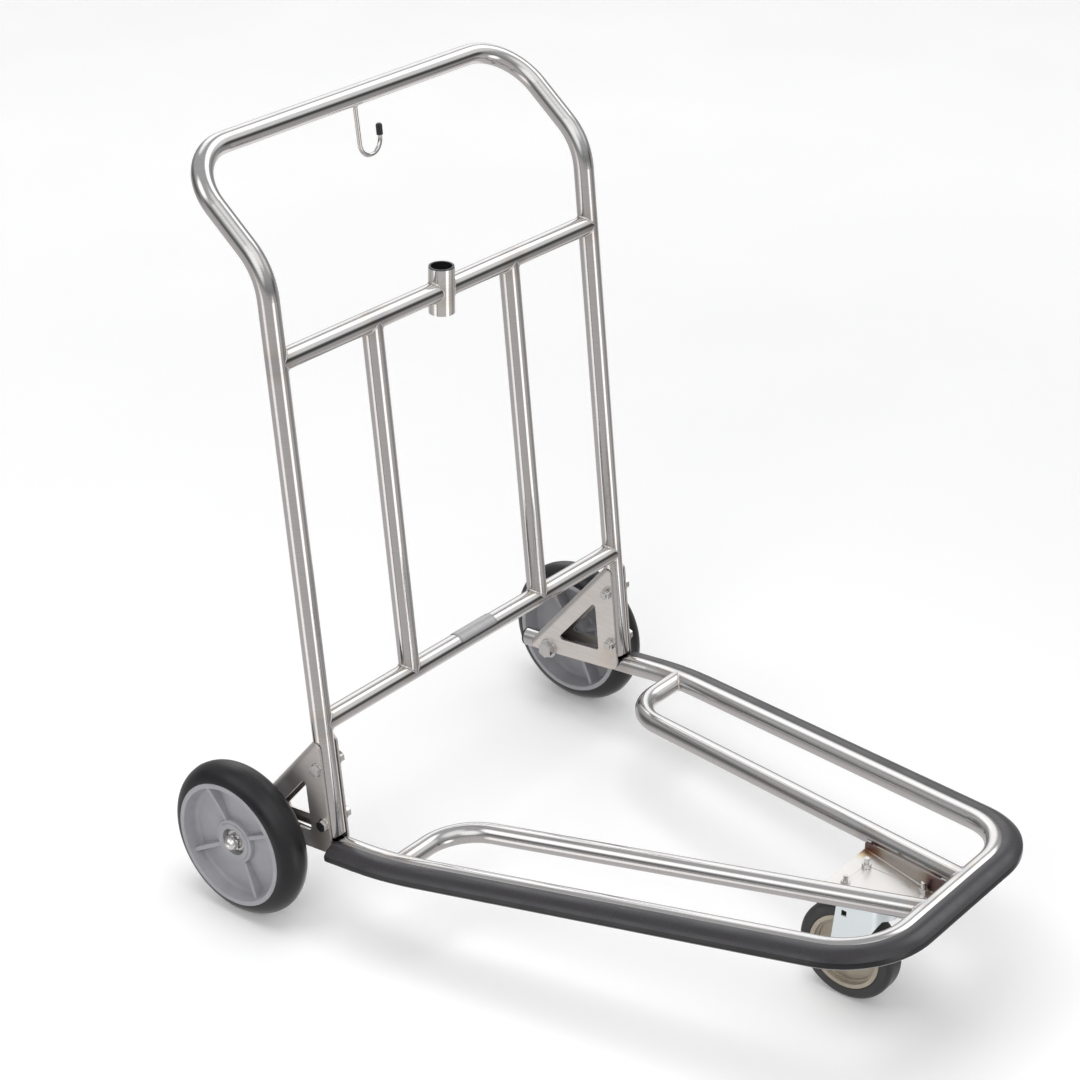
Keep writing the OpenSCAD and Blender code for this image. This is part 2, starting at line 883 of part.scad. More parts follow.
module caster_top_plate() {
    half_x = caster_plate_x / 2;
    half_y = caster_plate_y / 2;
    color("#b9c0c6") difference() {
        at_kingpin(caster_h - caster_plate) linear_extrude(caster_plate)
            polygon(rounded([[-half_x, -half_y, 8], [half_x, -half_y, 8],
                             [half_x, half_y, 8], [-half_x, half_y, 8]]));
        at_mounting_bolts() translate([0, 0, caster_h - 10]) cylinder(r = m6_r + 0.3, h = 20);
        at_kingpin(caster_h - 10) cylinder(r = kingpin_r + touch, h = 20);
    }
}

module swivel_race() {
    low = caster_h - caster_plate - race_h;
    color("#b9c0c6") at_kingpin(low) rotate_extrude() difference() {
        translate([kingpin_r + 6, 0]) square([race_r - kingpin_r - 6, race_h]);
        translate([ball_ring_r, 0]) circle(ball_r + clear);
    }
}

module kingpin() {
    low = fork_top - fork_t - 4;
    color("#b9c0c6") at_kingpin(low) {
        cylinder(r = kingpin_r + 3.5, h = 3.6);
        translate([0, 0, 3.5]) cylinder(r = kingpin_r, h = caster_h - low - 3.5);
    }
}

module swivel_balls() {
    color("silver") at_kingpin(fork_top + 2.6)
        for (k = [0 : ball_count - 1])
            rotate([0, 0, 360 * k / ball_count]) translate([ball_ring_r, 0, 0]) sphere(ball_r);
}

// Side view of a fork leg, drawn from the kingpin: x toward the rear, y from the floor
module fork_side() {
    foot = caster_r - 12;
    polygon(rounded([[trail - 13, foot, 11], [trail + 18, foot, 11],
                     [trail + 10.5, fork_top - 12, 4], [trail - 6, fork_top, 6],
                     [-fork_front_r - 2, fork_top, 1], [-fork_front_r - 2, fork_lip_up, 1],
                     [-11.5, fork_lip_up, 4], [5, 101, 8]]));
}

// Plan of the fork: two legs joined by a round front
module fork_plan(grow) {
    circle(fork_in + grow, $fn = 64);
    translate([-fork_in - grow, 0]) square([2 * (fork_in + grow), trail + 20]);
}

module caster_fork() {
    color("#b9c0c6") at_kingpin(0) difference() {
        union() {
            intersection() {
                translate([-30, 0, 0]) rotate([90, 0, 90]) linear_extrude(60) fork_side();
                difference() {
                    linear_extrude(fork_top) fork_plan(fork_t);
                    translate([0, 0, -1]) linear_extrude(fork_top - fork_t + 1) fork_plan(0);
                }
            }
            translate([0, 0, fork_top - fork_t]) cylinder(r = race_r, h = fork_t);
            translate([0, 0, fork_top - 0.1]) rotate_extrude()
                translate([ball_ring_r - 6, 0]) square([12, 1.2]);
        }
        translate([0, 0, fork_top + 2.6]) rotate_extrude()
            translate([ball_ring_r, 0]) circle(ball_r + touch);
        translate([0, 0, fork_top - 20]) cylinder(r = kingpin_r + run, h = 40);
        translate([0, trail, caster_r]) rod_x(-30, 30, m8_r + touch);
        translate([0, trail, fork_hole_up]) cube(fork_hole, center = true);
    }
}

module caster_axle_bolt() {
    color("silver") translate([0, caster_axle_y, caster_r]) {
        rod_x(-fork_front_r - 1.6 - 0.1, fork_front_r + m8_nut_h + 3, m8_r);
        hex_x(-fork_front_r - m8_head_h, -fork_front_r, m8_flats);
    }
}

module caster_axle_nut() {
    color("silver") translate([0, caster_axle_y, caster_r]) difference() {
        hex_x(fork_front_r, fork_front_r + m8_nut_h, m8_flats);
        rod_x(0, 50, m8_r + touch);
    }
}

module caster_axle_sleeve() {
    color("silver") translate([0, caster_axle_y, caster_r])
        washer_x(-fork_in, fork_in, caster_sleeve_r, m8_r + touch);
}

module at_caster_wheel() {
    translate([0, caster_axle_y, caster_r]) children();
}

module caster_tyre() {
    half = caster_w / 2;
    tread = [[core_r + touch, half, 2], [caster_r, half, 7],
             [caster_r, -half, 7], [core_r + touch, -half, 2]];
    color("#4a4b4d") at_caster_wheel() turned() difference() {
        polygon(rounded(tread));
        translate([core_r - 6.5, 0]) circle(9, $fn = 32);
    }
}

module caster_core() {
    half = caster_w / 2;
    color("#b5a68c") at_caster_wheel() turned() {
        intersection() {
            translate([core_r - 6.5, 0]) circle(9 - touch, $fn = 32);
            translate([core_r - 8, -9]) square([12, 18]);
        }
        translate([core_r - 5, -half]) square([5, 2 * half]);
        translate([12, -5]) square([core_r - 15, 10]);
        translate([10, -half - 1]) square([8, 2 * half + 2]);
    }
}

module caster_bearings() {
    half = caster_w / 2 + 1;
    color("silver") at_caster_wheel() for (x = [-half, half - 12])
        washer_x(x, x + 12, 10 - touch, caster_sleeve_r + run);
}

platform_tube();
inner_loop_left();
inner_loop_right();
bumper_strip();
bumper_screws();
tube_end_plugs();
bracket_left();
bracket_right();
pivot_bolts();
pivot_nuts();
lock_bolts();
lock_nuts();
bolt_washers();
axle_bolts();
axle_spacers();
axle_sleeves();
axle_washers();
dome_nuts();
caster_tray();
mounting_bolts();
mounting_nuts();
caster_top_plate();
swivel_race();
kingpin();
handle_tube();
pivot_sleeves();
lower_crossbar();
upper_crossbar();
grid_bar_left();
grid_bar_right();
pole_socket();
socket_liner();
bag_hook();
hook_tip_cap();
badge_plate();
left_tyre();
left_hub();
left_bearings();
right_tyre();
right_hub();
right_bearings();
caster_fork();
swivel_balls();
caster_axle_bolt();
caster_axle_nut();
caster_axle_sleeve();
caster_tyre();
caster_core();
caster_bearings();
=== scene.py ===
import math

import bmesh
import bpy
from mathutils import Matrix, Vector, noise


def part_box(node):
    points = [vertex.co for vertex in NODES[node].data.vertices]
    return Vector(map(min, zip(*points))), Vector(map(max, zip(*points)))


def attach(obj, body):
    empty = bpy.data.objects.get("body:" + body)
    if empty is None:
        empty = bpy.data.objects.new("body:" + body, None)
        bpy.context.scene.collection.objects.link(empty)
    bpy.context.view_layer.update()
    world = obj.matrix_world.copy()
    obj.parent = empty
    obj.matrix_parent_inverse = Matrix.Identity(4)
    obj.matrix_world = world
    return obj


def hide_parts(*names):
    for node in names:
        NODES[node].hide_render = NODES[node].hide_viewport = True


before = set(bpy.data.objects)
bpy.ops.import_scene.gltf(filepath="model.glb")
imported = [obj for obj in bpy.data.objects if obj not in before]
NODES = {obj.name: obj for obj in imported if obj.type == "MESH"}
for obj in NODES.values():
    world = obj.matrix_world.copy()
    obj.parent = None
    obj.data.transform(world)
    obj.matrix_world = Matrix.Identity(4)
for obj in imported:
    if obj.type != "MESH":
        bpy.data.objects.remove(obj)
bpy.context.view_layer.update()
MM = 0.001

# ---- places, all worked out from the frame ----


def middle(node):
    low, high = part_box(node)
    return (low + high) / 2


def extent(node):
    low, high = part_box(node)
    return high - low


WHEEL_R = extent("left_tyre").z / 2
WHEEL_X = middle("right_tyre").x
AXLE = Vector((0, middle("left_tyre").y, WHEEL_R))
TUBE_R = extent("lower_crossbar").z / 2
DECK_UP = middle("upper_crossbar") - middle("lower_crossbar")
DECK_UP = Vector((0, DECK_UP.y, DECK_UP.z)).normalized()
DECK_AHEAD = Vector((0, -DECK_UP.z, DECK_UP.y))
ACROSS = Vector((1, 0, 0))


def deck(x, ahead, up):
    """A point given in the deck's own tilted coordinates, in metres."""
    return AXLE + ACROSS * x + DECK_AHEAD * ahead + DECK_UP * up


def on_deck(point):
    """(x, ahead, up) of a point."""
    away = point - AXLE
    return Vector((point.x, away.dot(DECK_AHEAD), away.dot(DECK_UP)))


# ---- camera ----

SENSOR = 36.0                           # millimetres
FOCAL_SHARE = 2660.2 / 1080             # focal length, as a share of the frame's width
AZIMUTH, ELEVATION, ROLL = math.radians(38.73), math.radians(-27.744), 0.009
CAMERA_AT = Vector((-2.2121, AXLE.y - 1.9701, 1.9340))
camera_data = bpy.data.cameras.new("camera")
camera_data.lens = FOCAL_SHARE * SENSOR
camera_data.sensor_width = SENSOR
camera_data.clip_end = 50
camera = bpy.data.objects.new("camera", camera_data)
bpy.context.scene.collection.objects.link(camera)
bpy.context.scene.camera = camera
forward = Vector((math.cos(AZIMUTH) * math.cos(ELEVATION),
                  math.sin(AZIMUTH) * math.cos(ELEVATION), math.sin(ELEVATION)))
right = forward.cross(Vector((0, 0, 1))).normalized()
rolled_right = right * math.cos(ROLL) + right.cross(forward) * math.sin(ROLL)
turn = Matrix((rolled_right, rolled_right.cross(forward), -forward)).transposed().to_4x4()
camera.matrix_world = Matrix.Translation(CAMERA_AT) @ turn

# ---- node helpers ----


def new_material(name, colour, metallic=0.0, roughness=0.5, **sockets):
    """A Principled material with its constants set on the shader's own sockets."""
    made = bpy.data.materials.new(name)
    made.use_nodes = True
    shader = made.node_tree.nodes["Principled BSDF"]
    shader.inputs["Base Color"].default_value = (*colour, 1)
    shader.inputs["Metallic"].default_value = metallic
    shader.inputs["Roughness"].default_value = roughness
    for key, value in sockets.items():
        shader.inputs[key.replace("_", " ")].default_value = value
    return made


class Nodes:
    """Short ways to add nodes to one tree."""

    def __init__(self, tree):
        self.tree = tree

    def add(self, kind, **values):
        made = self.tree.nodes.new(kind)
        for key, value in values.items():
            setattr(made, key, value)
        return made

    def join(self, source, socket):
        if isinstance(source, (int, float)):
            socket.default_value = source
        elif isinstance(source, (tuple, Vector)):
            socket.default_value = tuple(source)
        else:
            self.tree.links.new(source, socket)

    def math(self, operation, a, b=0.0, clamp=False):
        made = self.add("ShaderNodeMath", operation=operation, use_clamp=clamp)
        self.join(a, made.inputs[0])
        self.join(b, made.inputs[1])
        return made.outputs[0]

    def vector(self, operation, a, b=(0, 0, 0)):
        made = self.add("ShaderNodeVectorMath", operation=operation)
        self.join(a, made.inputs[0])
        self.join(b, made.inputs[1])
        plain = operation in ("DISTANCE", "DOT_PRODUCT", "LENGTH")
        return made.outputs["Value" if plain else "Vector"]

    def place(self):
        return self.add("ShaderNodeTexCoord").outputs["Object"]

    def noise(self, vector, scale, detail=2.0, roughness=0.5):
        made = self.add("ShaderNodeTexNoise")
        self.join(vector, made.inputs["Vector"])
        made.inputs["Scale"].default_value = scale
        made.inputs["Detail"].default_value = detail
        made.inputs["Roughness"].default_value = roughness
        return made.outputs["Fac"]

    def stretched(self, vector, scale, turn_x=0.0):
        made = self.add("ShaderNodeMapping")
        self.join(vector, made.inputs["Vector"])
        made.inputs["Rotation"].default_value = (turn_x, 0, 0)
        made.inputs["Scale"].default_value = scale
        return made.outputs["Vector"]

    def span(self, value, from_low, from_high, to_low, to_high, smooth=False):
        made = self.add("ShaderNodeMapRange")
        if smooth:
            made.interpolation_type = "SMOOTHSTEP"
        self.join(value, made.inputs["Value"])
        for key, number in (("From Min", from_low), ("From Max", from_high),
                            ("To Min", to_low), ("To Max", to_high)):
            made.inputs[key].default_value = number
        return made.outputs["Result"]

    def ramp(self, value, *stops):
        made = self.add("ShaderNodeValToRGB")
        elements = made.color_ramp.elements
        while len(elements) > 1:
            elements.remove(elements[-1])
        for i, (at, colour) in enumerate(stops):
            element = elements[0] if i == 0 else elements.new(at)
            element.position = at
            element.color = (*colour, 1)
        self.join(value, made.inputs["Fac"])
        return made.outputs["Color"]

    def mix(self, factor, a, b, blend="MIX"):
        made = self.add("ShaderNodeMix", data_type="RGBA", blend_type=blend)
        self.join(factor, made.inputs["Factor"])
        for source, socket in ((a, made.inputs[6]), (b, made.inputs[7])):
            self.join((*source, 1) if isinstance(source, tuple) else source, socket)
        return made.outputs[2]

    def bump(self, height, distance, strength=1.0, under=None):
        made = self.add("ShaderNodeBump")
        self.join(height, made.inputs["Height"])
        made.inputs["Distance"].default_value = distance
        made.inputs["Strength"].default_value = strength
        if under is not None:
            self.join(under, made.inputs["Normal"])
        return made.outputs["Normal"]


def shader_nodes(made):
    return Nodes(made.node_tree), made.node_tree.nodes["Principled BSDF"].inputs

# ---- joints of the frame ----

SIDE_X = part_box("handle_tube")[1].x - TUBE_R
GRID_X = middle("grid_bar_right").x
UPRIGHT = on_deck(middle("lower_crossbar")).y
LOW_BAR = on_deck(middle("lower_crossbar")).z
HIGH_BAR = on_deck(middle("upper_crossbar")).z
NOSE = on_deck(Vector((0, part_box("platform_tube")[0].y + TUBE_R,
                       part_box("platform_tube")[1].z - TUBE_R))).y
TOP_BAR = on_deck(Vector((0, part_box("handle_tube")[1].y - TUBE_R,
                          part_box("handle_tube")[1].z - TUBE_R)))
KNEE, KNEE_NOSE_X = 204 * MM, 149.4 * MM        # where the side tubes start and end their taper
LOOP, LOOP_X, LOOP_NOSE_X = 211 * MM, 175.3 * MM, 38 * MM      # the inner loops' corners
HOOK_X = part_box("bag_hook")[0].x + extent("bag_hook").y / 2 - 3.5 * MM


def deck_way(a, b):
    """The direction from a to b, both in deck coordinates."""
    return (deck(*b) - deck(*a)).normalized()


BARS = [("lower_crossbar", LOW_BAR), ("upper_crossbar", HIGH_BAR)]
UPRIGHT_JOINTS = [deck(side * SIDE_X, UPRIGHT, up) for side in (-1, 1) for _, up in BARS]
GRID_JOINTS = [deck(side * GRID_X, UPRIGHT, up) for side in (-1, 1) for _, up in BARS]


def loop_joints(side):
    """Where an inner loop meets the side tube and the nose bar."""
    taper = (SIDE_X - KNEE_NOSE_X) / (NOSE - KNEE)
    return [deck(side * (SIDE_X - (LOOP - KNEE) * taper), LOOP, 0),
            deck(side * LOOP_NOSE_X, NOSE, 0)]


# ---- materials ----


def nearest(n, place, points):
    """Distance from each shaded place to the nearest of some points."""
    found = None
    for point in points:
        away = n.vector("DISTANCE", place, point)
        found = away if found is None else n.math("MINIMUM", found, away)
    return found


def heat(n, place, colour, points, inner, outer, strength):
    """Straw, brown and a little blue round the welds."""
    away = nearest(n, place, points)
    wander = n.math("MULTIPLY", n.noise(place, 90, 2), 7 * MM)
    ring = n.span(n.math("ADD", away, wander), inner, outer, 0, 1)
    tint = n.ramp(ring, (0.0, (0.42, 0.36, 0.33)), (0.16, (0.34, 0.36, 0.46)),
                  (0.36, (0.40, 0.27, 0.20)), (0.62, (0.82, 0.66, 0.42)), (1.0, (1, 1, 1)))
    return n.mix(strength, colour, n.mix(1.0, colour, tint, "MULTIPLY"))


def polished(name, lines, colour=(0.615, 0.61, 0.61), rough=(0.08, 0.17), welds=(), turn_x=0.0,
             reach=(12.5 * MM, 32 * MM), strength=0.2):
    """Belt-polished stainless: fine lines, soft cloudy patches, tints round the welds."""
    made = new_material(name, colour, metallic=1.0, roughness=0.2)
    n, shader = shader_nodes(made)
    place = n.place()
    streaks = n.noise(n.stretched(place, lines, turn_x), 1.0, 3, 0.6)
    clouds = n.noise(place, 14, 3, 0.55)
    specks = n.noise(place, 700, 2)
    dull = tuple(c * 0.86 for c in colour)
    base = n.mix(n.span(streaks, 0.3, 0.7, 0, 1), colour, dull)
    base = n.mix(n.span(clouds, 0.35, 0.75, 0, 0.35), base, tuple(c * w for c, w in
                                                                zip(colour, (1.0, 0.955, 0.93))))
    if welds:
        base = heat(n, place, base, welds, *reach, strength)
    n.join(base, shader["Base Color"])
    mixed = n.math("ADD", n.math("MULTIPLY", streaks, 0.6), n.math("MULTIPLY", clouds, 0.4))
    n.join(n.span(mixed, 0.3, 0.7, *rough), shader["Roughness"])
    fine = n.bump(streaks, 0.02 * MM, 0.5)
    n.join(n.bump(specks, 0.01 * MM, 0.25, fine), shader["Normal"])
    return made


def rubber(name, colour, rough, grain, dust, mark=0.3, gloss=0.45, painted_top_highlight=None):
    """Moulded rubber: fine grain, scuffs, a little dust, and a painted highlight: a paler colour
    on what faces up.
    """
    made = new_material(name, colour, roughness=rough, Specular_IOR_Level=gloss)
    n, shader = shader_nodes(made)
    place = n.place()
    patches = n.noise(place, 22, 4, 0.6)
    scuffs = n.noise(n.stretched(place, (140, 30, 60)), 1.0, 3, 0.65)
    base = n.mix(n.span(patches, 0.35, 0.75, 0, 0.5), colour, dust)
    base = n.mix(n.span(scuffs, 0.6, 0.78, 0, mark), base, tuple(min(1, c * 2.2) for c in dust))
    # painted highlight: faces turned upward get a paler base colour, standing in for the sheen of
    # the light from above
    if painted_top_highlight:
        facing = n.add("ShaderNodeSeparateXYZ")
        n.join(n.add("ShaderNodeNewGeometry").outputs["Normal"], facing.inputs[0])
        base = n.mix(n.span(facing.outputs["Z"], 0.3, 0.85, 0, 1, True), base, painted_top_highlight)
    n.join(base, shader["Base Color"])
    n.join(n.span(patches, 0.3, 0.7, rough - 0.08, rough + 0.12), shader["Roughness"])
    n.join(n.bump(n.noise(place, grain, 3, 0.7), 0.06 * MM, 0.6), shader["Normal"])
    return made


def moulded(name, colour, rough, fleck=0.12, grain=1100):
    """Injection-moulded plastic: fine texture, faint flow marks."""
    made = new_material(name, colour, roughness=rough, Specular_IOR_Level=0.5)
    n, shader = shader_nodes(made)
    place = n.place()
    flow = n.noise(n.stretched(place, (18, 40, 40)), 1.0, 4, 0.6)
    base = n.mix(n.span(flow, 0.3, 0.7, 0, 1), tuple(c * (1 - fleck) for c in colour),
                 tuple(min(1, c * (1 + fleck)) for c in colour))
    n.join(base, shader["Base Color"])
    n.join(n.span(flow, 0.3, 0.7, rough - 0.07, rough + 0.08), shader["Roughness"])
    n.join(n.bump(n.noise(place, grain, 2, 0.6), 0.03 * MM, 0.5), shader["Normal"])
    return made


def plated(name, colour, rough, spangle=90, spots=0.94, tint=None):
    """Zinc or steel sheet: mottled plating over faint rolling lines."""
    made = new_material(name, colour, metallic=1.0, roughness=rough)
    n, shader = shader_nodes(made)
    place = n.place()
    mottle = n.noise(place, spangle, 4, 0.6)
    rolling = n.noise(n.stretched(place, (900, 40, 900)), 1.0, 2)
    base = n.mix(n.span(mottle, 0.3, 0.7, 0, 1), tuple(c * spots for c in colour), colour)
    if tint:
        base = tint(n, place, base)
    n.join(base, shader["Base Color"])
    both = n.math("ADD", n.math("MULTIPLY", mottle, 0.7), n.math("MULTIPLY", rolling, 0.3))
    n.join(n.span(both, 0.3, 0.7, rough - 0.08, rough + 0.1), shader["Roughness"])
    n.join(n.bump(both, 0.03 * MM, 0.4), shader["Normal"])
    return made


TILT = math.atan2(DECK_UP.y, DECK_UP.z)
ROUND_UP = (60, 60, 2600)        # lines that run round an upright tube
ROUND_X = (2600, 60, 60)         # lines that run round a crosswise tube
ROUND_AHEAD = (60, 2600, 60)     # lines that run round a lengthwise tube
ANYWAY = (500, 500, 500)

socket_ways = middle("pole_socket")
tray_low, tray_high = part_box("caster_tray")


def loop_edge(side, ahead, inward=TUBE_R, up=0.0):
    """A point beside an inner loop's straight run, on the side toward the middle."""
    a, b = Vector((LOOP_X, LOOP, 0)), Vector((LOOP_NOSE_X, NOSE, 0))
    way = (b - a).normalized()
    spot = a + way * ((ahead - LOOP) / way.y) + Vector((-way.y, way.x, 0)) * inward
    return deck(side * spot.x, spot.y, up)


TRAY_REAR = (AXLE.y - tray_high.y) / DECK_UP.z
TRAY_FRONT = (AXLE.y - tray_low.y) / DECK_UP.z
FLANGE_IN = TUBE_R + 4 * MM             # middle of a tray flange, from the loop's centreline
TRAY_WELDS = [loop_edge(side, ahead, FLANGE_IN, -7 * MM)
              for side in (-1, 1) for ahead in (TRAY_REAR + 4 * MM, TRAY_FRONT - 4 * MM)]
TRAY_TOP = tray_low.z + 3 * MM


def tray_tint(n, place, colour):
    """Flanges darker and pinker than the plate all along, brown at their welded ends, and straw on
    the plate beside them.
    """
    split = n.add("ShaderNodeSeparateXYZ")
    n.join(place, split.inputs[0])
    standing = n.span(split.outputs["Z"], TRAY_TOP + 0.2 * MM, TRAY_TOP + 1.6 * MM, 0, 1, True)
    away = nearest(n, place, TRAY_WELDS)
    away = n.math("ADD", away, n.math("MULTIPLY", n.noise(place, 80, 2), 6 * MM))
    flat = n.ramp(n.span(away, 7 * MM, 30 * MM, 0, 1, True), (0.0, (0.50, 0.30, 0.20)),
                  (0.35, (0.86, 0.66, 0.42)), (0.7, (0.97, 0.88, 0.72)), (1.0, (1, 1, 1)))
    # standing flange faces: darker all over than the plate, brown towards the welds
    upright = n.ramp(n.span(away, 8 * MM, 46 * MM, 0, 1, True), (0.0, (0.20, 0.13, 0.13)),
                     (0.42, (0.26, 0.17, 0.16)), (0.62, (0.40, 0.34, 0.27)),
                     (1.0, (0.54, 0.50, 0.475)))
    return n.mix(1.0, colour, n.mix(standing, flat, upright), "MULTIPLY")


LOOP_WELDS = {side: loop_joints(side) for side in (-1, 1)}
BRACKET_FEET = [deck(side * SIDE_X, UPRIGHT + 8 * MM, 8 * MM) for side in (-1, 1)]

looks = {
    "handle_tube": polished("tube_handle", ROUND_UP, turn_x=TILT, welds=UPRIGHT_JOINTS),
    "lower_crossbar": polished("tube_lower_bar", ROUND_X, welds=UPRIGHT_JOINTS + GRID_JOINTS),
    "upper_crossbar": polished("tube_upper_bar", ROUND_X,
                               welds=UPRIGHT_JOINTS + GRID_JOINTS + [socket_ways]),
    "grid_bar_left": polished("tube_grid_left", ROUND_UP, turn_x=TILT, welds=GRID_JOINTS[:2]),
    "grid_bar_right": polished("tube_grid_right", ROUND_UP, turn_x=TILT, welds=GRID_JOINTS[2:]),
    "platform_tube": polished("tube_deck", ROUND_AHEAD,
                              welds=LOOP_WELDS[-1] + LOOP_WELDS[1] + BRACKET_FEET),
    "inner_loop_left": polished("tube_loop_left", ROUND_AHEAD,
                                welds=LOOP_WELDS[-1] + TRAY_WELDS[:2]),
    "inner_loop_right": polished("tube_loop_right", ROUND_AHEAD,
                                 welds=LOOP_WELDS[1] + TRAY_WELDS[2:]),
    "pole_socket": polished("socket_steel", (60, 60, 1800), colour=(0.72, 0.715, 0.70),
                            rough=(0.12, 0.22), welds=[socket_ways], reach=(14 * MM, 30 * MM)),
    "bag_hook": polished("hook_steel", ANYWAY, colour=(0.70, 0.69, 0.68), rough=(0.10, 0.2)),
}
bracket_steel = polished("bracket_steel", (1500, 30, 900), colour=(0.79, 0.765, 0.74),
                         rough=(0.40, 0.54), turn_x=math.radians(45), welds=BRACKET_FEET,
                         reach=(10 * MM, 45 * MM), strength=0.2)
tray_steel = plated("tray_steel", (0.83, 0.81, 0.79), 0.34, 60, tint=tray_tint)
bright = polished("bright_fastener", ANYWAY, colour=(0.68, 0.675, 0.67), rough=(0.09, 0.20))
nut_steel = polished("nut_steel", ANYWAY, colour=(0.92, 0.915, 0.91), rough=(0.2, 0.32))
dull = polished("dull_fastener", ANYWAY, colour=(0.58, 0.57, 0.55), rough=(0.22, 0.36))
zinc = plated("zinc", (0.80, 0.865, 0.89), 0.34, 50)
badge_metal = polished("badge_metal", (1600, 60, 60), colour=(0.50, 0.50, 0.51),
                       rough=(0.42, 0.55))
tyre_rubber = rubber("tyre_rubber", (0.006, 0.006, 0.008), 0.34, 900, (0.015, 0.014, 0.015), 0.08)
bumper_rubber = rubber("bumper_rubber", (0.004, 0.004, 0.006), 0.25, 1200, (0.007, 0.007, 0.009),
                       # the bumper's last colour is its painted highlight on upward faces
                       0.06, gloss=0.5, painted_top_highlight=(0.027, 0.025, 0.029))
caster_rubber = rubber("caster_rubber", (0.030, 0.030, 0.031), 0.48, 900, (0.050, 0.047, 0.045))
hub_plastic = moulded("hub_plastic", (0.34, 0.34, 0.36), 0.40, 0.07)
core_plastic = moulded("core_plastic", (0.42, 0.37, 0.295), 0.5, 0.08)
black_plastic = moulded("black_plastic", (0.012, 0.012, 0.013), 0.35, 0.3)

for material, nodes in (
        (bracket_steel, ("bracket_left", "bracket_right")),
        (tray_steel, ("caster_tray",)),
        (bright, ("dome_nuts", "axle_washers", "pivot_bolts", "lock_bolts", "pivot_nuts",
                  "lock_nuts", "axle_bolts", "mounting_nuts", "mounting_bolts", "bolt_washers",
                  "swivel_balls", "bumper_screws")),
        (dull, ("axle_sleeves", "axle_spacers", "pivot_sleeves", "left_bearings",
                "right_bearings", "caster_bearings", "caster_axle_sleeve")),
        (zinc, ("caster_top_plate", "swivel_race", "kingpin", "caster_fork",
                "caster_axle_bolt", "caster_axle_nut")),
        (badge_metal, ("badge_plate",)),
        (tyre_rubber, ("left_tyre", "right_tyre")),
        (bumper_rubber, ("bumper_strip",)),
        (caster_rubber, ("caster_tyre",)),
        (hub_plastic, ("left_hub", "right_hub")),
        (core_plastic, ("caster_core",)),
        (black_plastic, ("tube_end_plugs", "socket_liner", "hook_tip_cap"))):
    for name in nodes:
        looks[name] = material
for name, obj in NODES.items():
    obj.data.materials.clear()
    obj.data.materials.append(looks[name])

# ---- mesh helpers ----


def piece(name, points, faces, body, slot, look, smooth=30, stands_for=()):
    """A new mesh that rides on a body and takes the material it is given."""
    mesh = bpy.data.meshes.new(name)
    mesh.from_pydata([tuple(p) for p in points], [], faces)
    mesh.validate()
    shaped = bmesh.new()
    shaped.from_mesh(mesh)
    bmesh.ops.recalc_face_normals(shaped, faces=shaped.faces)
    shaped.to_mesh(mesh)
    shaped.free()
    for polygon in mesh.polygons:
        polygon.use_smooth = True
    mesh.set_sharp_from_angle(angle=math.radians(smooth))
    mesh.materials.append(look)
    made = bpy.data.objects.new(name, mesh)
    bpy.context.scene.collection.objects.link(made)
    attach(made, body)
    if stands_for:
        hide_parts(*stands_for)
    return made


def rounded(corners, steps=4):
    """A closed outline of (x, y, radius) corners, with each corner rounded."""
    outline = []
    count = len(corners)
    for i, (x, y, r) in enumerate(corners):
        here = Vector((x, y))
        if r <= 0:
            outline.append(here)
            continue
        u = (Vector(corners[i - 1][:2]) - here).normalized()
        v = (Vector(corners[(i + 1) % count][:2]) - here).normalized()
        half = u.angle(v) / 2
        centre = here + (u + v).normalized() * (r / math.sin(half))
        start = here + u * (r / math.tan(half)) - centre
        end = here + v * (r / math.tan(half)) - centre
        for k in range(steps + 1):
            spoke = start.lerp(end, k / steps).normalized() if k else start.normalized()
            outline.append(centre + spoke * r)
    return outline


def lathe(outline, centre, side, steps=96):
    """Turns a closed (radius, outward) outline about a crosswise axis."""
    points, faces = [], []
    count = len(outline)
    for k in range(steps):
        angle = 2 * math.pi * k / steps
        for spot in outline:
            points.append(centre + Vector((side * spot.y, spot.x * math.cos(angle),
                                           spot.x * math.sin(angle))))
    for k in range(steps):
        for i in range(count):
            a, b = k * count + i, k * count + (i + 1) % count
            c, d = (k + 1) % steps * count + (i + 1) % count, (k + 1) % steps * count + i
            faces.append((a, b, c, d))
    return points, faces


def merge(*meshes):
    """Several (points, faces) meshes as one."""
    points, faces = [], []
    for more_points, more_faces in meshes:
        start = len(points)
        points += more_points
        faces += [tuple(i + start for i in face) for face in more_faces]
    return points, faces


def bead(line, shares, radius, closed=True, ripple=2.4 * MM, depth=0.12, sides=10, seed=0):
    """A weld bead along a line: a round section whose size ripples as the pool was laid."""
    count = len(line)
    points, faces = [], []
    run = 0.0
    for i, spot in enumerate(line):
        ahead = line[(i + 1) % count] if closed or i < count - 1 else spot
        behind = line[i - 1] if closed or i > 0 else spot
        way = (ahead - behind).normalized()
        u = way.orthogonal().normalized() if not i else (u - way * u.dot(way)).normalized()
        v = way.cross(u)
        run += (spot - behind).length if i else 0
        wave = run / ripple
        size = 1 - depth * (wave % 1.0) + 0.12 * noise.noise(spot * 300 + Vector((seed, 0, 0)))
        size *= shares[i]
        if not closed:
            size *= min(1, math.sqrt((min(i, count - 1 - i) + 0.35) / 4))
        for k in range(sides):
            angle = 2 * math.pi * k / sides
            points.append(spot + (u * math.cos(angle) + v * math.sin(angle)) * radius * size)
    last = count if closed else count - 1
    for i in range(last):
        for k in range(sides):
            a, b = i * sides + k, i * sides + (k + 1) % sides
            j = (i + 1) % count * sides
            faces.append((a, b, j + (k + 1) % sides, j + k))
    if not closed:
        faces += [tuple(range(sides)), tuple((count - 1) * sides + k for k in range(sides))]
    return points, faces


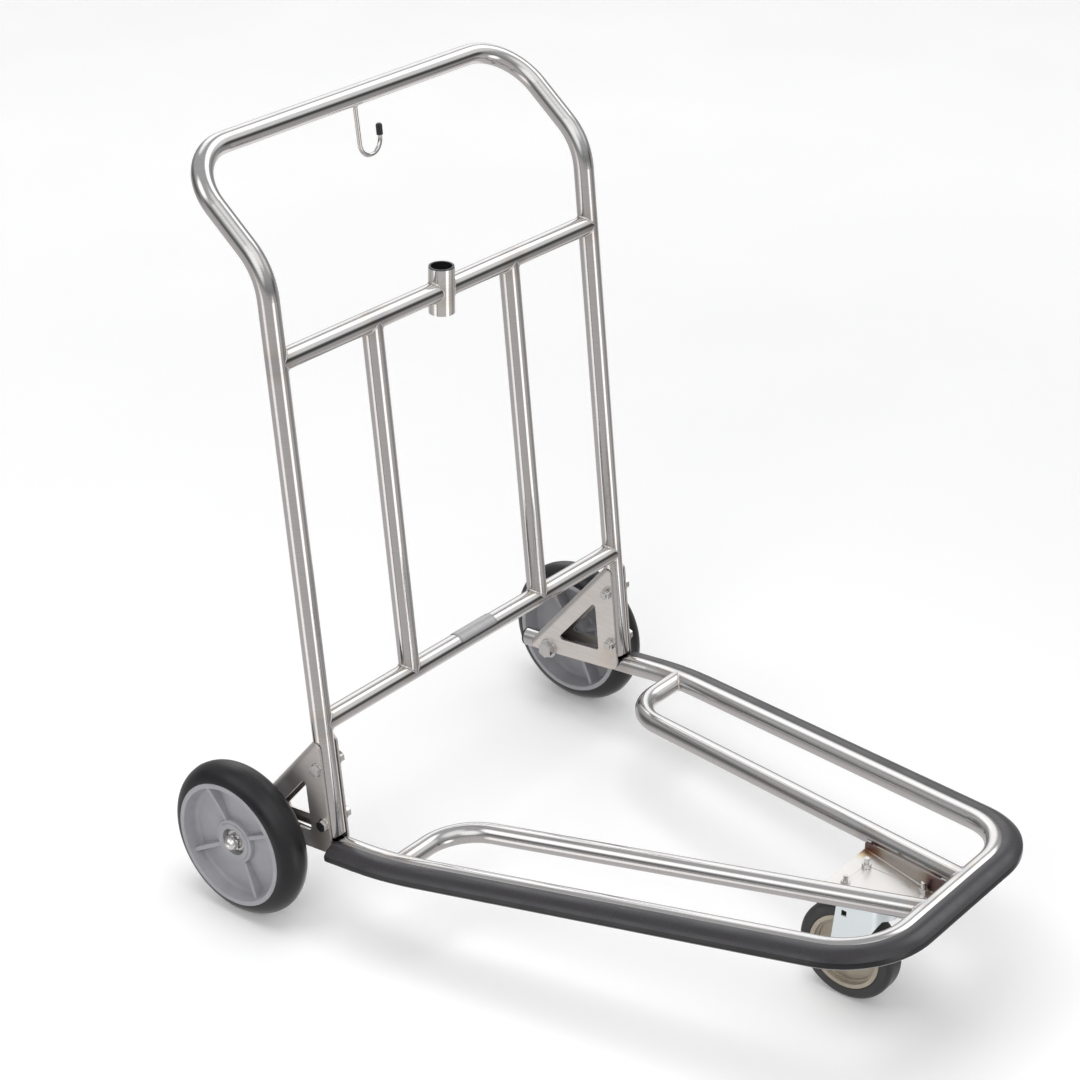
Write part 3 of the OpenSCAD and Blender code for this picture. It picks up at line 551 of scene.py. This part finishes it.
def saddle(branch, branch_way, branch_r, main, main_way, main_r, sunk=0.5 * MM, steps=180):
    """Where a round branch, coming along branch_way, meets a round main tube: the closed line
    and the share of a full bead at each point, by how sharply the two surfaces turn there."""
    u = branch_way.orthogonal().normalized()
    v = branch_way.cross(u)
    line, shares = [], []
    for k in range(steps):
        angle = 2 * math.pi * k / steps
        out = u * math.cos(angle) + v * math.sin(angle)
        start = branch + out * branch_r * 0.999
        away = start - main
        away -= main_way * away.dot(main_way)
        way = branch_way - main_way * branch_way.dot(main_way)
        a, b, c = way.dot(way), 2 * away.dot(way), away.dot(away) - main_r ** 2
        reach = (-b - math.sqrt(max(b * b - 4 * a * c, 0))) / (2 * a)
        line.append(start + branch_way * reach - out * sunk)
        face = (away + way * reach).normalized()
        corner = math.sin(math.acos(max(-1, min(1, face.dot(out)))))
        shares.append(0.25 + 0.75 * corner)
    return line, shares


# ---- weld beads ----

BEAD_R = 2.1 * MM
weld_steel = polished("weld_bead", (700, 700, 700), colour=(0.70, 0.69, 0.68),
                      rough=(0.16, 0.3))


def weld(name, lines, body, closed=True, radius=BEAD_R):
    meshes = [bead(line, shares, radius, closed, seed=i * 3.7)
              for i, (line, shares) in enumerate(lines)]
    piece(name, *merge(*meshes), body, "stainless", weld_steel, smooth=60)


for label, up in BARS:
    bar = deck(0, UPRIGHT, up)
    weld("weld_" + label + "_ends",
         [saddle(bar, ACROSS * side, TUBE_R, deck(side * SIDE_X, UPRIGHT, up), DECK_UP, TUBE_R)
          for side in (-1, 1)], "handle")
    way = DECK_UP if up == HIGH_BAR else -DECK_UP
    weld("weld_grid_" + label,
         [saddle(deck(side * GRID_X, UPRIGHT, (LOW_BAR + HIGH_BAR) / 2), way, TUBE_R, bar,
                 ACROSS, TUBE_R) for side in (-1, 1)], "handle")

SOCKET_R = extent("pole_socket").x / 2
high_bar = deck(0, UPRIGHT, HIGH_BAR)
weld("weld_socket",
     [saddle(high_bar - ACROSS * side * GRID_X, ACROSS * side, TUBE_R, high_bar,
             Vector((0, 0, 1)), SOCKET_R) for side in (-1, 1)], "handle")
for side, label in ((-1, "left"), (1, "right")):
    at_side, at_nose = LOOP_WELDS[side]
    side_way = deck_way((side * SIDE_X, KNEE, 0), (side * KNEE_NOSE_X, NOSE, 0))
    loop_way = deck_way((side * LOOP_X, LOOP, 0), (side * LOOP_NOSE_X, NOSE, 0))
    weld("weld_loop_" + label,
         [saddle(deck(side * LOOP_X, LOOP, 0), ACROSS * side, TUBE_R, at_side, side_way, TUBE_R),
          saddle(deck(side * LOOP_X, LOOP, 0), loop_way, TUBE_R, at_nose, ACROSS, TUBE_R)],
         "platform")

HOOK_R = extent("hook_tip_cap").x / 2 - 1.25 * MM       # the rod inside its cap
top_bar = deck(0, TOP_BAR.y, TOP_BAR.z)
weld("weld_hook", [saddle(deck(HOOK_X, TOP_BAR.y, TOP_BAR.z - 40 * MM), DECK_UP, HOOK_R,
                          top_bar, ACROSS, TUBE_R, sunk=-0.1 * MM, steps=90)], "handle",
     radius=1.3 * MM)
FLANGE_TOP = -1.5 * MM                  # the tray's flanges, above the deck tubes' centre plane


def tray_line(side, start, end, steps=40):
    """A short bead on the end of a flange, where it reaches the loop."""
    return [loop_edge(side, start + (end - start) * k / (steps - 1), TUBE_R + 0.9 * MM,
                      FLANGE_TOP + 0.2 * MM) for k in range(steps)], [1] * steps


weld("weld_tray", [tray_line(side, *ends) for side in (-1, 1)
                   for ends in ((TRAY_REAR + 0.4 * MM, TRAY_REAR + 9 * MM),
                                (TRAY_FRONT - 9 * MM, TRAY_FRONT - 0.4 * MM))],
     "platform", closed=False, radius=1.7 * MM)

# ---- rear wheels ----


TREAD = 23.9 * MM                       # radius of the tread's section
SEAT_R, RIM_R = 80.05 * MM, 81.65 * MM  # the tyre's bore, and where its side meets the rim
BEAD_W, FOOT_W = 22.4 * MM, 23.2 * MM   # half widths of the tyre's bore and of its foot
FOOT_RISE = 5.6 * MM                    # from the section's centre up to where the tread starts
MOULD_LINE = 0.25 * MM                  # height of the moulding line


def tyre_outline():
    """Half-round tread, a fine moulding line at the crown and a step beside the rim."""
    middle_r = WHEEL_R - TREAD
    foot = [Vector((SEAT_R, BEAD_W)), Vector((RIM_R, BEAD_W)),
            Vector((RIM_R + 0.05 * MM, FOOT_W))]
    outline = [Vector((spot.x, -spot.y)) for spot in foot]
    steps = 64
    first = math.asin(FOOT_RISE / TREAD)
    for k in range(steps + 1):
        angle = first + (math.pi - 2 * first) * k / steps
        across = -math.cos(angle)
        swell = TREAD
        if abs(across) < 0.035:             # the moulding line
            swell += MOULD_LINE
        elif abs(across) < 0.06:            # a faint dip on each side of it
            swell -= 0.05 * MM
        elif 0.925 < abs(across) < 0.945:   # the groove beside the rim
            swell -= 0.45 * MM
        outline.append(Vector((middle_r + swell * math.sin(angle) - MOULD_LINE,
                               across * TREAD)))
    return outline + foot[::-1]


def hub_outline():
    """The hub's section, in millimetres: radius, outward place and corner radius."""
    return rounded([(p * MM, q * MM, r * MM) for p, q, r in (
        (81.6, 24.5, 0.9), (81.6, 22.5, 0.3), (80.0, 22.4, 0.2), (80.0, -22.4, 0.2),
        (81.6, -22.5, 0.3), (81.6, -24.5, 0.9), (75.5, -24.5, 1.2), (72.5, 0.6, 5.5),
        (29.0, 2.0, 4.0), (28.6, -18.0, 1.2), (17.5, -18.0, 0.6), (17.5, 15.0, 0.7),
        (24.0, 15.0, 0.9), (24.4, 13.5, 0.6), (28.6, 13.5, 1.2), (29.4, 6.0, 2.0),
        (72.3, 4.6, 6.0), (75.5, 24.5, 1.2))], 5)


RIB_ROOT, RIB_EDGE, RIB_ROUND = 3.6 * MM, 2.8 * MM, 0.9 * MM    # half widths and edge radius


def rib(inner, outer, side, centre, angle):
    """One rib from inner to outer, each (radius, root, top): thick at its root, with a
    rounded free edge."""
    points, faces = [], []
    section = rounded([(-RIB_ROOT, 0, 0), (RIB_ROOT, 0, 0), (RIB_EDGE, 1, RIB_ROUND),
                       (-RIB_EDGE, 1, RIB_ROUND)], 4)
    radial = Vector((0, math.cos(angle), math.sin(angle)))
    wide = Vector((0, -math.sin(angle), math.cos(angle)))
    stations = 12
    for k in range(stations + 1):
        share = k / stations
        r = inner[0] + (outer[0] - inner[0]) * share
        root = inner[1] + (outer[1] - inner[1]) * share
        top = inner[2] + (outer[2] - inner[2]) * (share ** 1.5)
        rise = 1 if top > root else -1
        tall = abs(top - root)
        for spot in section:
            up = 0 if spot.y == 0 else tall + (spot.y - 1)
            points.append(centre + radial * r + wide * spot.x + ACROSS * side * (root + rise * up))
    count = len(section)
    for k in range(stations):
        for i in range(count):
            a, b = k * count + i, k * count + (i + 1) % count
            faces.append((a, b, b + count, a + count))
    faces += [tuple(range(count)), tuple(stations * count + i for i in range(count))]
    return points, faces


HUB_RIBS, RIB_TURN = 4, math.radians(30)
RIB_START, RIB_STOP = 27.5 * MM, 74.6 * MM      # the ribs' ends, from the axle
for side, label in ((-1, "left"), (1, "right")):
    centre = Vector((side * WHEEL_X, AXLE.y, AXLE.z))
    body = "wheel_" + label
    piece("wheel_tread_" + label, *lathe(tyre_outline(), centre, side, 160), body,
          "tyre_rubber", tyre_rubber, smooth=40, stands_for=[label + "_tyre"])
    ribs = []
    for k in range(HUB_RIBS):
        angle = math.pi - RIB_TURN + 2 * math.pi * k / HUB_RIBS
        ribs.append(rib((RIB_START, 3 * MM, 12.6 * MM), (RIB_STOP, 2.5 * MM, 18.5 * MM),
                        side, centre, angle))
        ribs.append(rib((RIB_START, 1.5 * MM, -15.5 * MM), (RIB_STOP, 1.5 * MM, -18.5 * MM),
                        side, centre, angle))
    piece("wheel_hub_" + label, *merge(lathe(hub_outline(), centre, side, 128), *ribs), body,
          "hub_plastic", hub_plastic, smooth=35, stands_for=[label + "_hub"])

# ---- acorn nuts ----


DOME_R, DOME_AT = 9.2 * MM, 6.6 * MM    # the dome, and its centre from the nut's flat face


def acorn_nut(face, side, flats=19 * MM, steps=96):
    """A chamfered hexagon under a dome, from its flat face outward."""
    corner = flats / 2 / math.cos(math.radians(30))
    stations = [(0, 0.86), (0.5 * MM, 1.0), (6.2 * MM, 1.0), (6.9 * MM, 0.88), (7.0 * MM, 0.84)]
    stations = [(x, share * corner) for x, share in stations]
    stations += [(DOME_AT + DOME_R * math.sin(a), DOME_R * math.cos(a))
                 for a in [math.radians(4 + 85.5 * k / 16) for k in range(17)]]
    points, faces = [], []
    for x, limit in stations:
        for k in range(steps):
            angle = 2 * math.pi * k / steps
            flat = (angle + math.radians(30)) % math.radians(60) - math.radians(30)
            r = min(limit, flats / 2 / math.cos(flat))
            points.append(face + Vector((side * x, r * math.cos(angle), r * math.sin(angle))))
    for i in range(len(stations) - 1):
        for k in range(steps):
            a, b = i * steps + k, i * steps + (k + 1) % steps
            faces.append((a, b, b + steps, a + steps))
    faces += [tuple(range(steps)), tuple((len(stations) - 1) * steps + k for k in range(steps))]
    return points, faces


NUT_FACE = WHEEL_X + 10.2 * MM          # the nut's flat face, from the cart's middle
piece("acorn_nuts", *merge(*[acorn_nut(Vector((side * NUT_FACE, AXLE.y, AXLE.z)), side)
                             for side in (-1, 1)]),
      "platform", "fastener_steel", nut_steel, smooth=32, stands_for=["dome_nuts"])

# ---- badge ----


def badge_lines(half, inset, corner, spacing):
    """Grid lines over a plate's width: close together at the edge and at the groove."""
    edge = [0, 0.25 * MM, inset, inset + 0.12 * MM, inset + 0.5 * MM, inset + 0.62 * MM, corner]
    inner = half - corner
    count = max(1, round(2 * inner / spacing))
    return ([-half + e for e in edge] + [-inner + 2 * inner * k / count for k in range(1, count)]
            + [half - e for e in reversed(edge)])


def badge():
    """A thin curved plate with round corners and a shallow groove inside its edge."""
    low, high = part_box("badge_plate")
    at_x, half_x = (low.x + high.x) / 2, (high.x - low.x) / 2
    inner_r, thick = TUBE_R + 0.05 * MM, 0.8 * MM
    corner, inset, groove = 3 * MM, 1.3 * MM, 0.35 * MM
    half_turn, turn = math.radians(55), math.radians(76)    # half its wrap, and its middle
    half_v = half_turn * (inner_r + thick)
    columns = badge_lines(half_x, inset, corner, 4 * MM)
    rows = badge_lines(half_v, inset, corner, 1.2 * MM)
    points, faces = [], []
    for back in (False, True):
        for u in columns:
            for v in rows:
                a = max(0, (abs(u) - half_x + corner) / corner)
                b = max(0, (abs(v) - half_v + corner) / corner)
                d = corner * (1 - max(a, b))
                cut = groove if inset + 0.1 * MM < d < inset + 0.55 * MM else 0
                depth = thick if back else cut + (0.25 * MM if d < 0.1 * MM else 0)
                if a and b:
                    a, b = a * math.sqrt(1 - b * b / 2), b * math.sqrt(1 - a * a / 2)
                    u_at = math.copysign(half_x - corner + corner * a, u)
                    v_at = math.copysign(half_v - corner + corner * b, v)
                else:
                    u_at, v_at = u, v
                angle, r = turn + v_at / (inner_r + thick), inner_r + thick - depth
                points.append(deck(at_x + u_at, UPRIGHT + r * math.cos(angle),
                                   LOW_BAR + r * math.sin(angle)))
    wide, tall = len(columns), len(rows)
    for layer in (0, wide * tall):
        for i in range(wide - 1):
            for j in range(tall - 1):
                a = layer + i * tall + j
                faces.append((a, a + 1, a + tall + 1, a + tall))
    rim = ([i * tall for i in range(wide)] + [(wide - 1) * tall + j for j in range(1, tall)]
           + [i * tall + tall - 1 for i in range(wide - 2, -1, -1)]
           + list(range(tall - 2, 0, -1)))
    for k, a in enumerate(rim):
        b = rim[(k + 1) % len(rim)]
        faces.append((a, b, b + wide * tall, a + wide * tall))
    return points, faces


piece("badge_blank", *badge(), "handle", "badge_metal", badge_metal, smooth=40,
      stands_for=["badge_plate"])

# ---- soft edges on the sheet and turned parts ----


def soften(name, width, segments=2, angle=30):
    """Joins the node's split edges and rounds its sharp ones."""
    obj = NODES[name]
    join = obj.modifiers.new("join", "WELD")
    join.merge_threshold = 0.004 * MM
    edge = obj.modifiers.new("edge", "BEVEL")
    edge.width = width
    edge.segments = segments
    edge.limit_method = "ANGLE"
    edge.angle_limit = math.radians(angle)
    edge.use_clamp_overlap = True
    even = obj.modifiers.new("even", "WEIGHTED_NORMAL")
    even.keep_sharp = False


for name in ("bracket_left", "bracket_right"):
    soften(name, 0.6 * MM)
for name in ("caster_tray", "caster_top_plate"):
    soften(name, 0.5 * MM)
for name in ("pivot_bolts", "lock_bolts", "pivot_nuts", "lock_nuts", "axle_bolts", "axle_washers",
             "bolt_washers", "mounting_bolts", "mounting_nuts", "caster_axle_bolt",
             "caster_axle_nut"):
    soften(name, 0.4 * MM)

# ---- stage and light ----


def stage_floor():
    """A pale floor that brightens away from the cart and can be looked through from below."""
    made = new_material("floor", (0.92, 0.92, 0.925), roughness=0.7)
    n, shader = shader_nodes(made)
    n.join(n.span(n.noise(n.place(), 3, 2), 0.3, 0.7, 0.62, 0.78), shader["Roughness"])
    shader["Emission Color"].default_value = (1, 1, 1, 1)
    far_off = n.vector("LENGTH", n.place())
    n.join(n.span(far_off, 0.7, 3.2, 0.12, 0.36, True), shader["Emission Strength"])
    through = n.add("ShaderNodeBsdfTransparent")
    switch = n.add("ShaderNodeMixShader")
    output = made.node_tree.nodes["Material Output"]
    n.join(n.add("ShaderNodeNewGeometry").outputs["Backfacing"], switch.inputs[0])
    n.join(made.node_tree.nodes["Principled BSDF"].outputs[0], switch.inputs[1])
    n.join(through.outputs[0], switch.inputs[2])
    n.join(switch.outputs[0], output.inputs["Surface"])
    mesh = bpy.data.meshes.new("floor")
    far = 25                            # metres from the middle to each edge
    mesh.from_pydata([(-far, -far, 0), (far, -far, 0), (far, far, 0), (-far, far, 0)], [],
                     [(0, 1, 2, 3)])
    mesh.materials.append(made)
    floor = bpy.data.objects.new("floor", mesh)
    bpy.context.scene.collection.objects.link(floor)
    floor.visible_glossy = False


# Soft boxes round the cart: heading and height in degrees, inner and outer size, strength
SOFT_BOXES = [(-88, -17, 5, 16, 1.5), (164, -26, 5, 18, 0.9), (-8, 46, 8, 20, 1.7),
              (42, 22, 8, 26, 1.0), (60, 42, 8, 18, 0.9), (150, 40, 8, 22, 1.3),
              (-150, 30, 10, 30, 0.9), (-100, 55, 10, 30, 0.7), (10, -40, 8, 24, 0.4),
              (-38, 28, 8, 22, 0.45)]
# Dark cards between them, which draw the thin dark lines on the tubes
DARK_CARDS = [(-46, 0, 5, 18, 0.75), (-28, -21, 8, 20, 0.4), (165, 8, 6, 18, 0.5),
              (110, 0, 10, 30, 0.5)]


def heading_of(azimuth_deg, elevation_deg):
    """The direction of a heading and height, given in degrees."""
    a, e = math.radians(azimuth_deg), math.radians(elevation_deg)
    return Vector((math.cos(a) * math.cos(e), math.sin(a) * math.cos(e), math.sin(e)))


def studio():
    """The world: pale ground and sky, then the cards and soft boxes that the metal reflects."""
    world = bpy.data.worlds.new("studio")
    bpy.context.scene.world = world
    world.use_nodes = True
    n = Nodes(world.node_tree)
    way = n.add("ShaderNodeTexCoord").outputs["Generated"]
    split = n.add("ShaderNodeSeparateXYZ")
    n.join(way, split.inputs[0])
    height = split.outputs["Z"]
    ground = n.span(height, -0.7, -0.12, 0.68, 0.58, True)
    sky = n.span(height, 0.0, 0.5, 0.30, 0.56, True)
    above = n.span(height, -0.16, 0.04, 0, 1, True)
    level = n.math("ADD", n.math("MULTIPLY", ground, n.math("SUBTRACT", 1.0, above)),
                   n.math("MULTIPLY", sky, above))
    for a, e, inner, outer, depth in DARK_CARDS:
        near = n.vector("DOT_PRODUCT", way, heading_of(a, e))
        card = n.span(near, math.cos(math.radians(outer)), math.cos(math.radians(inner)),
                      1, 1 - depth, True)
        level = n.math("MULTIPLY", level, card)
    for a, e, inner, outer, strength in SOFT_BOXES:
        near = n.vector("DOT_PRODUCT", way, heading_of(a, e))
        box = n.span(near, math.cos(math.radians(outer)), math.cos(math.radians(inner)),
                     0, strength, True)
        level = n.math("ADD", level, box)
    path = n.add("ShaderNodeLightPath").outputs
    seen = path["Is Camera Ray"]
    level = n.math("MULTIPLY", level, n.math("SUBTRACT", 1.0, n.math(
        "MULTIPLY", path["Is Diffuse Ray"], 0.45)))
    tone = n.mix(above, (1.0, 0.972, 0.962), (1.0, 1.0, 1.0))
    background = world.node_tree.nodes["Background"]
    n.join(n.mix(seen, tone, (0.93, 0.93, 0.94)), background.inputs["Color"])
    n.join(n.math("ADD", n.math("MULTIPLY", level, n.math("SUBTRACT", 1.0, seen)), seen),
           background.inputs["Strength"])


def soft_light(name, place, size, watts):
    """A round soft light that faces the cart and doesn't show."""
    data = bpy.data.lights.new(name, "AREA")
    data.shape = "DISK"
    data.size = size
    data.energy = watts
    light = bpy.data.objects.new(name, data)
    bpy.context.scene.collection.objects.link(light)
    aim = (Vector((0, 0, 0.3)) - Vector(place)).to_track_quat("-Z", "Y")
    light.matrix_world = Matrix.Translation(place) @ aim.to_matrix().to_4x4()
    light.visible_camera = False
    light.visible_glossy = False


stage_floor()
studio()
soft_light("overhead", (-0.3, 0.1, 2.6), 2.0, 36)
soft_light("key", (-2.9, -0.9, 2.1), 1.5, 24)
bpy.context.scene.view_settings.view_transform = "Standard"
